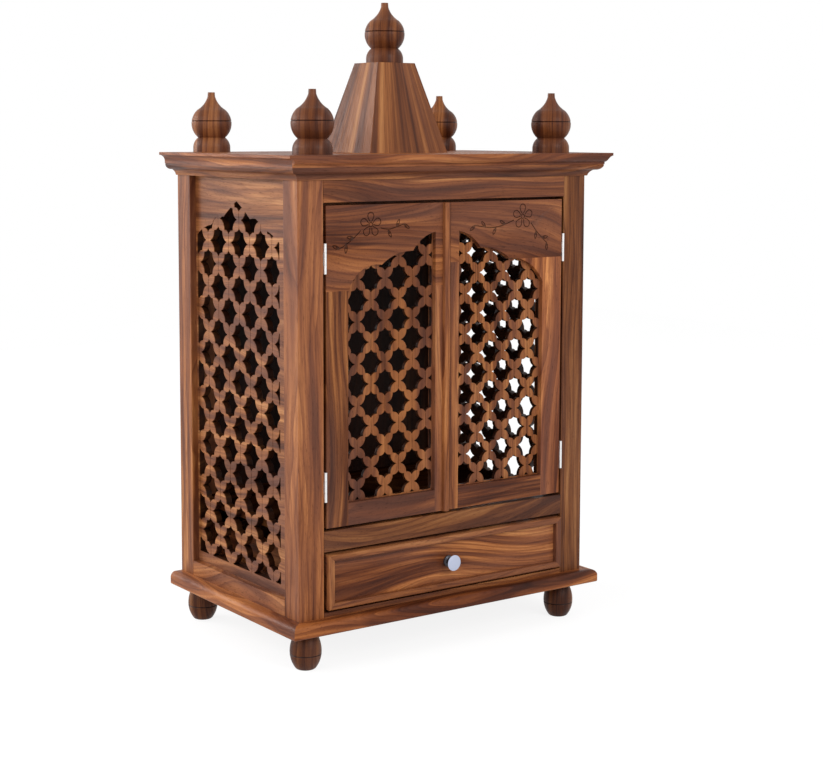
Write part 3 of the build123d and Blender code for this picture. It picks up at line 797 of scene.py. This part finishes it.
base_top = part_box("base_plate")[1].z
body_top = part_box("cove_front")[0].z
side_low, side_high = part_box("side_jaali_left")
side_middle = (side_low.y + side_high.y) / 2 + 0.0135
side_half = 0.142
side_opening = arched_outline(
    left=side_middle - side_half,
    right=side_middle + side_half,
    bottom=base_top + 0.045,
    middle=side_middle,
    crown=body_top - 0.041,
    inner=(0.046, body_top - 0.070),
    outer=(0.088, body_top - 0.085),
    rounds=((0.026, body_top - 0.056), (0.074, body_top - 0.072), (0.114, body_top - 0.091)),
    spring=body_top - 0.105,
)
side_board = [
    (side_low.y, side_low.z),
    (side_high.y, side_low.z),
    (side_high.y, side_high.z),
    (side_low.y, side_high.z),
]
side_step = (0.0366, 0.0405)
side_star = (0.0294, 0.0269)
side_counts = (13, 21)
side_star_shift = (-0.0078, 0.007)
side_first = (
    side_middle + side_star_shift[0] - side_counts[0] // 2 * side_step[0],
    (base_top + body_top) / 2 + side_star_shift[1] - side_counts[1] // 2 * side_step[1],
)
side_tint = (1.02, 1.07, 1.16)
for side, outward, seed in (("left", -1, 31.9), ("right", 1, 36.2)):
    low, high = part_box(f"side_jaali_{side}")
    inner_face, outer_face = (high.x, low.x) if side == "left" else (low.x, high.x)
    thickness = high.x - low.x
    # Just inside the holes the walls are painted dark, as shade
    shaded_past = ("X", outer_face - outward * 0.3 * MM, outer_face - outward * 1.4 * MM)
    wood = sheesham(
        f"side_jaali_wood_{side}", "Y", seed, side_tint, 0.8,
        lines=0.4, heart=0.4, inside=shaded_past,
    )
    pierced_side = jaali(
        f"pierced_side_{side}",
        outline=side_board,
        opening=side_opening,
        thickness=thickness,
        place=lambda u, w, depth: (inner_face + outward * depth, u, w),
        star=side_star,
        step=side_step,
        first=side_first,
        counts=side_counts,
        across=(0.0, 1.0, 0.0),
        wood=wood,
        vein=(0.6 * MM, thickness - 1.2 * MM, thickness + MM),
    )
    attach(pierced_side, "cabinet")
    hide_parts(f"side_jaali_{side}")
    rail_wood = sheesham(f"side_rail_wood_{side}", "Y", 41.3 + outward, 0.12)
    finish_node(f"side_rail_{side}", rail_wood)

# Back and shrine floor: wide sheesham boards, housed between the posts. Inside the shrine
# they are painted darker, as shade, and the floor is duller.
back_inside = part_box("back_panel")[0].y
shaded_past = ("Y", back_inside + 2 * MM, back_inside + MM)
back_wood = sheesham("back_panel_wood", "Z", 45.2, -0.1, 0.3, inside=shaded_past)
finish_node("back_panel", back_wood)
shaded_past = ("Z", 0.0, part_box("shrine_floor")[1].z - MM)
floor_wood = sheesham("shrine_floor_wood", "X", 47.9, -0.1, gloss=0.0, inside=shaded_past)
finish_node("shrine_floor", floor_wood)
for side, seed in (("left", 48.4), ("right", 49.1)):
    finish_node(f"drawer_runner_{side}", sheesham(f"runner_wood_{side}", "Y", seed, -0.2))

# Front rails: sheesham lengths tenoned between the posts, above and below the doors
# and under the drawer.
for name, seed, tone in (("bottom", 51.2, 0.0), ("middle", 52.7, -0.33), ("top", 53.6, 0.10)):
    finish_node(f"front_{name}_rail", sheesham(f"rail_wood_{name}", "X", seed, tone))

# Top board and cove: a board with an ovolo edge over a cove moulding, both mitred at
# the front corners, so that the grain runs round the cabinet.
top_tint = (1.06, 0.97, 0.88)
top_wood = sheesham("top_board_wood", "X", 55.1, top_tint, 0.8, border=round_the_edge)
finish_node("top_board", top_wood)
for name, axis, seed in (("front", "X", 56.4), ("left", "Y", 57.3), ("right", "Y", 58.8)):
    finish_node(f"cove_{name}", sheesham(f"cove_wood_{name}", axis, seed, 0.0, 0.5))

# Doors: stiles, rail and arched top board of sheesham, flush at their joints, round a
# thin jaali of the same stars let in behind the face.
door_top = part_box("left_door_top_board")[1].z
door_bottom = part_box("left_door_hinge_stile")[0].z
left_hole = (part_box("left_door_jaali")[0].x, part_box("left_door_jaali")[1].x)
right_hole = (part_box("right_door_jaali")[0].x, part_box("right_door_jaali")[1].x)
arch_middle = (left_hole[1] + right_hole[0]) / 2
hole_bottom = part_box("left_door_jaali")[0].z


def clipped(outline, low, high):
    """The part of an outline between two upright lines."""
    for edge, keep_above in ((low, True), (high, False)):
        kept = []
        for (x1, z1), (x2, z2) in zip(outline, outline[1:] + outline[:1]):
            inside1 = (x1 >= edge) if keep_above else (x1 <= edge)
            inside2 = (x2 >= edge) if keep_above else (x2 <= edge)
            if inside1:
                kept.append((x1, z1))
            if inside1 != inside2:
                share = (edge - x1) / (x2 - x1)
                kept.append((edge, z1 + (z2 - z1) * share))
        outline = kept
    apart = []
    for point in outline:
        if not apart or math.dist(point, apart[-1]) > NEARLY_NOTHING:
            apart.append(point)
    if math.dist(apart[0], apart[-1]) < NEARLY_NOTHING:
        apart.pop()
    return apart


def door_outline(hole, rim):
    """Half of the arch that both doors share, less a rim that stays uncut."""
    whole = arched_outline(
        left=left_hole[0],
        right=right_hole[1],
        bottom=hole_bottom,
        middle=arch_middle,
        crown=door_top - 0.050 - rim,
        inner=(0.072, door_top - 0.080 - rim),
        outer=(0.136, door_top - 0.101 - rim),
        rounds=(
            (0.052, door_top - 0.060 - rim),
            (0.107, door_top - 0.085 - rim),
            (0.184, door_top - 0.114 - rim),
        ),
        spring=door_top - 0.146 - rim,
    )
    part = clipped(whole, hole[0] + rim, hole[1] - rim)
    return [(x, max(z, hole_bottom + rim)) for x, z in part]


door_step = (0.0282, 0.03535)
door_star = (0.0237, 0.0231)
door_counts = (21, 17)
door_star_column = 0.04185
door_star_shift = (0.00235, 0.0016)
uncut_rim = 1.5 * MM
stile_tones = {"left_hinge_stile": -0.14, "right_hinge_stile": 0.52}
for side, sign, hole in (("left", -1, left_hole), ("right", 1, right_hole)):
    low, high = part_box(f"{side}_door_jaali")
    front = low.y
    centre_x = arch_middle + door_star_shift[0] + sign * door_star_column
    centre_z = (door_bottom + door_top) / 2 + door_star_shift[1]
    first = (
        centre_x - door_counts[0] // 2 * door_step[0],
        centre_z - door_counts[1] // 2 * door_step[1],
    )
    # Past the face the holes' walls and the back are painted dark, as shade
    shaded_past = ("Y", front + 0.3 * MM, front + 1.4 * MM)
    wood = sheesham(
        f"door_jaali_wood_{side}", "Z", 63.1 + sign * 1.7, 0.0, 0.6, lines=0.4, inside=shaded_past
    )
    door_jaali = jaali(
        f"door_jaali_{side}",
        outline=door_outline(hole, 0.0),
        opening=door_outline(hole, uncut_rim),
        thickness=high.y - low.y,
        place=lambda u, w, depth: (u, front + depth, w),
        star=door_star,
        step=door_step,
        first=first,
        counts=door_counts,
        across=(1.0, 0.0, 0.0),
        wood=wood,
        vein=(0.35 * MM, -MM, 1.2 * MM),
    )
    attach(door_jaali, f"{side}_door")
    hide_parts(f"{side}_door_jaali")
    for board, axis, seed, figure in (
        ("hinge_stile", "Z", 66.3, 0.5),
        ("meeting_stile", "Z", 67.9, 0.4),
        ("bottom_rail", "X", 70.4, 0.8),
    ):
        tone = stile_tones.get(f"{side}_{board}", 0.14)
        wood = sheesham(f"door_wood_{side}_{board}", axis, seed + sign * 2.3, tone, figure)
        finish_node(f"{side}_door_{board}", wood)
finish_node("left_door_bead", sheesham("door_bead_wood", "Z", 75.6, 0.12, 0.3, heart=0.3))


# Carving: a five-petalled flower with a leafy stem to each side, cut with a small gouge
# across the top board of either door after the doors were glued up.
def carving_tree():
    """Geometry nodes: a round gouge follows the strokes and leaves its groove in a board."""
    kinds = {
        "Strokes": "Object",
        "Gouge radius": "Float",
        "Face level": "Float",
        "Wood": "Material",
        "Cut wood": "Material",
    }
    tree, given, result = shaping_tree("door_carving", kinds)
    number = partial(maths, tree)
    strokes = wire(tree, "GeometryNodeObjectInfo", {"Object": given["Strokes"]})
    gouge = wire(
        tree,
        "GeometryNodeCurvePrimitiveCircle",
        {"Radius": given["Gouge radius"], "Resolution": 6},
    )
    grooves = wire(
        tree,
        "GeometryNodeCurveToMesh",
        {
            "Curve": strokes.outputs["Geometry"],
            "Profile Curve": gouge.outputs["Curve"],
            "Fill Caps": True,
        },
    )
    carved = wire(
        tree,
        "GeometryNodeMeshBoolean",
        {"Mesh 1": given["Geometry"], "Mesh 2": grooves.outputs[0], "Self Intersection": True},
        operation="DIFFERENCE",
        solver="EXACT",
    )
    whole = wire(tree, "GeometryNodeRealizeInstances", {"Geometry": carved.outputs["Mesh"]})
    dressed = wire(
        tree,
        "GeometryNodeSetMaterial",
        {"Geometry": whole.outputs[0], "Material": given["Wood"]},
    )

    # The grooves are the faces that lie behind the board's face by less than the gouge; they take a
    # darker wood as painted shade
    spot = wire(tree, "GeometryNodeInputPosition").outputs[0]
    spot = wire(tree, "ShaderNodeSeparateXYZ", {0: spot}).outputs
    sunk = number("SUBTRACT", spot[1], given["Face level"])
    below = number("GREATER_THAN", sunk, 0.05 * MM)
    above = number("LESS_THAN", sunk, given["Gouge radius"])
    cut = wire(
        tree,
        "GeometryNodeSetMaterial",
        {
            "Geometry": dressed.outputs[0],
            "Selection": number("MULTIPLY", below, above),
            "Material": given["Cut wood"],
        },
    )
    tree.links.new(cut.outputs[0], result[0])
    return tree


def leaf(base, tip, breadth=0.32):
    """A pointed leaf and its vein, between two points of the board's face."""
    across = ((base[1] - tip[1]) * breadth, (tip[0] - base[0]) * breadth)
    middle = ((base[0] + tip[0]) / 2, (base[1] + tip[1]) / 2)
    one_side = (middle[0] + across[0], middle[1] + across[1])
    other_side = (middle[0] - across[0], middle[1] - across[1])
    return [[base, one_side, tip], [base, other_side, tip], [base, middle]]


def spray(points, length):
    """A stem through the points with leaves turned to one side and the other."""
    leaf_turn = math.radians(48)
    strokes = [points]
    for index, (start, end) in enumerate(zip(points, points[1:])):
        run = math.dist(start, end)
        ahead = ((end[0] - start[0]) / run, (end[1] - start[1]) / run)
        turn = leaf_turn * (1 if index % 2 else -1)
        aim = (
            ahead[0] * math.cos(turn) - ahead[1] * math.sin(turn),
            ahead[0] * math.sin(turn) + ahead[1] * math.cos(turn),
        )
        strokes += leaf(end, (end[0] + aim[0] * length, end[1] + aim[1] * length))
    return strokes


def flower(centre, radius):
    """Five petals round a small eye."""

    def around(reach, turn):
        return (centre[0] + reach * math.cos(turn), centre[1] + reach * math.sin(turn))

    petal = ((0.25, -14), (0.72, -30), (1.0, -10), (1.0, 10), (0.72, 30), (0.25, 14))
    strokes = [
        [around(radius * share, math.radians(90 + 72 * number + swing)) for share, swing in petal]
        for number in range(5)
    ]
    eye = [around(0.2 * radius, math.tau * i / 6) for i in range(7)]
    return strokes + [eye]


carving = carving_tree()
gouge_radius = 1.05 * MM
# Strokes are in millimetres on the doors' faces: across from the middle, and up
carved_strokes = {
    "left": flower((-163, 741), 21)
    + spray([(-183, 732), (-196, 720), (-211, 710), (-225, 703)], 15)
    + spray([(-143, 735), (-128, 731), (-111, 736), (-96, 740)], 14),
    "right": flower((161, 746), 22)
    + spray([(180, 734), (192, 719), (205, 707), (216, 698)], 14)
    + spray([(141, 740), (122, 733), (101, 728), (78, 729), (55, 733)], 14),
}
for side, sign in (("left", -1), ("right", 1)):
    node = f"{side}_door_top_board"
    face_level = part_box(node)[0].y
    path = bpy.data.curves.new(f"{side}_strokes", "CURVE")
    path.dimensions = "3D"
    for stroke in carved_strokes[side]:
        spline = path.splines.new("NURBS")
        spline.points.add(len(stroke) - 1)
        for point, (x, z) in zip(spline.points, stroke):
            point.co = (x * MM, face_level, z * MM, 1.0)
        spline.order_u = min(3, len(stroke))
        spline.use_endpoint_u = True
        spline.resolution_u = 4
    strokes = bpy.data.objects.new(f"{side}_strokes", path)
    scene.collection.objects.link(strokes)
    build = bmesh.new()
    build.from_mesh(nodes[node].data)
    bmesh.ops.remove_doubles(build, verts=build.verts, dist=0.01 * MM)
    bmesh.ops.dissolve_limit(
        build, angle_limit=math.radians(0.1), verts=build.verts, edges=build.edges
    )
    blank = mesh_piece(f"{side}_top_blank", build)
    seed, figure = 69.2 + sign * 2.3, 1.3
    values = {
        "Strokes": strokes,
        "Gouge radius": gouge_radius,
        "Face level": face_level,
        "Wood": sheesham(f"carved_wood_{side}", "X", seed, 0.14, figure),
        # The grooves' wood is darker, as painted shade
        "Cut wood": sheesham(f"shaded_groove_wood_{side}", "X", seed, -0.5, figure),
    }
    carved_board = shaped(blank, carving, values, f"carved_top_board_{side}")
    bpy.data.objects.remove(strokes)
    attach(carved_board, f"{side}_door")
    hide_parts(node)

# Hinges: bright steel butt hinges, two to a door, let into the post and the door's edge.
# The steel is drawn lengthways, which leaves faint upright scratches.
hinge_steel, tree = blank_material("bright_steel")
point = wire(tree, "ShaderNodeTexCoord").outputs["Object"]
drawn = wire(tree, "ShaderNodeMapping", {"Vector": point, "Scale": (900.0, 900.0, 40.0)})
scratches = wire(
    tree, "ShaderNodeTexNoise", {"Vector": drawn.outputs[0], "Scale": 1.0, "Detail": 2.0}
).outputs["Fac"]
sheen = wire(tree, "ShaderNodeMapRange", {"Value": scratches, "To Min": 0.24, "To Max": 0.42})
bump = wire(tree, "ShaderNodeBump", {"Height": scratches, "Strength": 0.15, "Distance": 0.0001})
shader = wire(
    tree,
    "ShaderNodeBsdfPrincipled",
    {
        "Base Color": grey(0.80),
        "Metallic": 1.0,
        "Roughness": sheen.outputs[0],
        "Normal": bump.outputs[0],
    },
)
wire(tree, "ShaderNodeOutputMaterial", {"Surface": shader.outputs[0]})
for side in ("left", "right"):
    finish_node(f"{side}_post_hinge_leaves", hinge_steel)
    finish_node(f"{side}_door_hinge_leaves", hinge_steel)

# Drawer: a flush sheesham front with a proud picture-frame moulding mitred round it,
# on a plain box of thinner boards.
frame_low, frame_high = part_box("drawer_front_frame")
moulding = 0.011
round_the_drawer = (
    frame_high.x - moulding,
    "Z",
    (frame_high.z - frame_low.z) / 2 - moulding,
    (frame_low.z + frame_high.z) / 2,
    "Z",
)
finish_node("drawer_front", sheesham("drawer_front_wood", "X", 81.2, 0.24, 1.1))
frame_wood = sheesham("drawer_frame_wood", "X", 82.6, 0.0, 0.4, border=round_the_drawer)
finish_node("drawer_front_frame", frame_wood)
for name, axis, seed in (
    ("side_left", "Y", 83.3),
    ("side_right", "Y", 84.1),
    ("back", "X", 85.7),
    ("bottom", "X", 86.9),
):
    finish_node(f"drawer_{name}", sheesham(f"drawer_{name}_wood", axis, seed, 0.02, 0.7))

# Knob: a turned and plated metal knob on the middle of the drawer, with a flat pale
# face. Behind the lip the neck is painted dark, as shade.
knob_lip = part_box("drawer_knob")[0].y + 4.0 * MM
knob_metal, tree = blank_material("satin_nickel")
point = wire(tree, "ShaderNodeTexCoord").outputs["Object"]
cloud = wire(tree, "ShaderNodeTexNoise", {"Vector": point, "Scale": 260.0, "Detail": 2.0})
sheen = wire(
    tree,
    "ShaderNodeMapRange",
    {"Value": cloud.outputs["Fac"], "To Min": 0.28, "To Max": 0.40},
)
depth = wire(tree, "ShaderNodeSeparateXYZ", {0: point}).outputs[1]
# Behind the lip the neck is painted dark, as shade
neck_shade = wire(
    tree,
    "ShaderNodeMapRange",
    {"Value": depth, "From Min": knob_lip, "From Max": knob_lip + 1.5 * MM},
)
pale_face, shaded_neck = srgb(181, 188, 209), srgb(58, 56, 62)
plate = blend(tree, "MIX", neck_shade.outputs[0], pale_face, shaded_neck)
shader = wire(
    tree,
    "ShaderNodeBsdfPrincipled",
    {"Base Color": plate, "Metallic": 0.55, "Roughness": sheen.outputs[0]},
)
wire(tree, "ShaderNodeOutputMaterial", {"Surface": shader.outputs[0]})
finish_node("drawer_knob", knob_metal)

# Shikhara: the temple tower on the top board, four tapering sides whose grain narrows
# with them towards its flat top.
tower_low, tower_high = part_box("shikhara")
tower_top_half = 0.040
tower_fan = (
    tower_low.z,
    tower_high.z,
    (tower_high.x - tower_low.x) / 2,
    tower_top_half,
    (tower_low.y + tower_high.y) / 2,
)
tower_wood = sheesham(
    "shikhara_wood", "Z", 91.4, -0.12, 0.25, lines=0.2, heart=0.25, fan=tower_fan
)
finish_node("shikhara", tower_wood)

# Finials: turned onions on a rounded foot with a short open neck, one at each corner
# and one on the tower, each scored once round on the lathe, with painted shade in the line.
finial_profile = (
    [(0.0, 0.0), (0.0332, 0.0)]
    + arc_through((0.0332, 0.009), (0.0308, 0.018), (0.0243, 0.026), 12)
    + arc_through((0.0243, 0.026), (0.0358, 0.0507), (0.025, 0.0754), 30)[1:]
    + arc_through((0.025, 0.0754), (0.014, 0.085), (0.0067, 0.099), 12)[1:]
    + [(0.0062, 0.1066), (0.0, 0.1066)]
)
finial_score = 0.0555
finials = {
    "front_left": "finial_front_left",
    "front_right": "finial_front_right",
    "rear_left": "finial_rear_left",
    "rear_right": "finial_rear_right",
    "tower": "shikhara_finial",
}
for number, (spot, node) in enumerate(finials.items()):
    low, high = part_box(node)
    middle = (low + high) / 2
    wood = sheesham(
        f"finial_wood_{spot}", "Z", 95.3 + number * 1.7, -0.12, 0.15,
        pith=far_pith(middle), score=low.z + finial_score,
    )
    profile = scored(finial_profile, finial_score)
    centre = (middle.x, middle.y, low.z)
    finial = turned(f"turned_finial_{spot}", profile, centre, wood, "cabinet")
    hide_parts(node)

# The visual model's box, of every shown piece but the backdrop.
low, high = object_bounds()
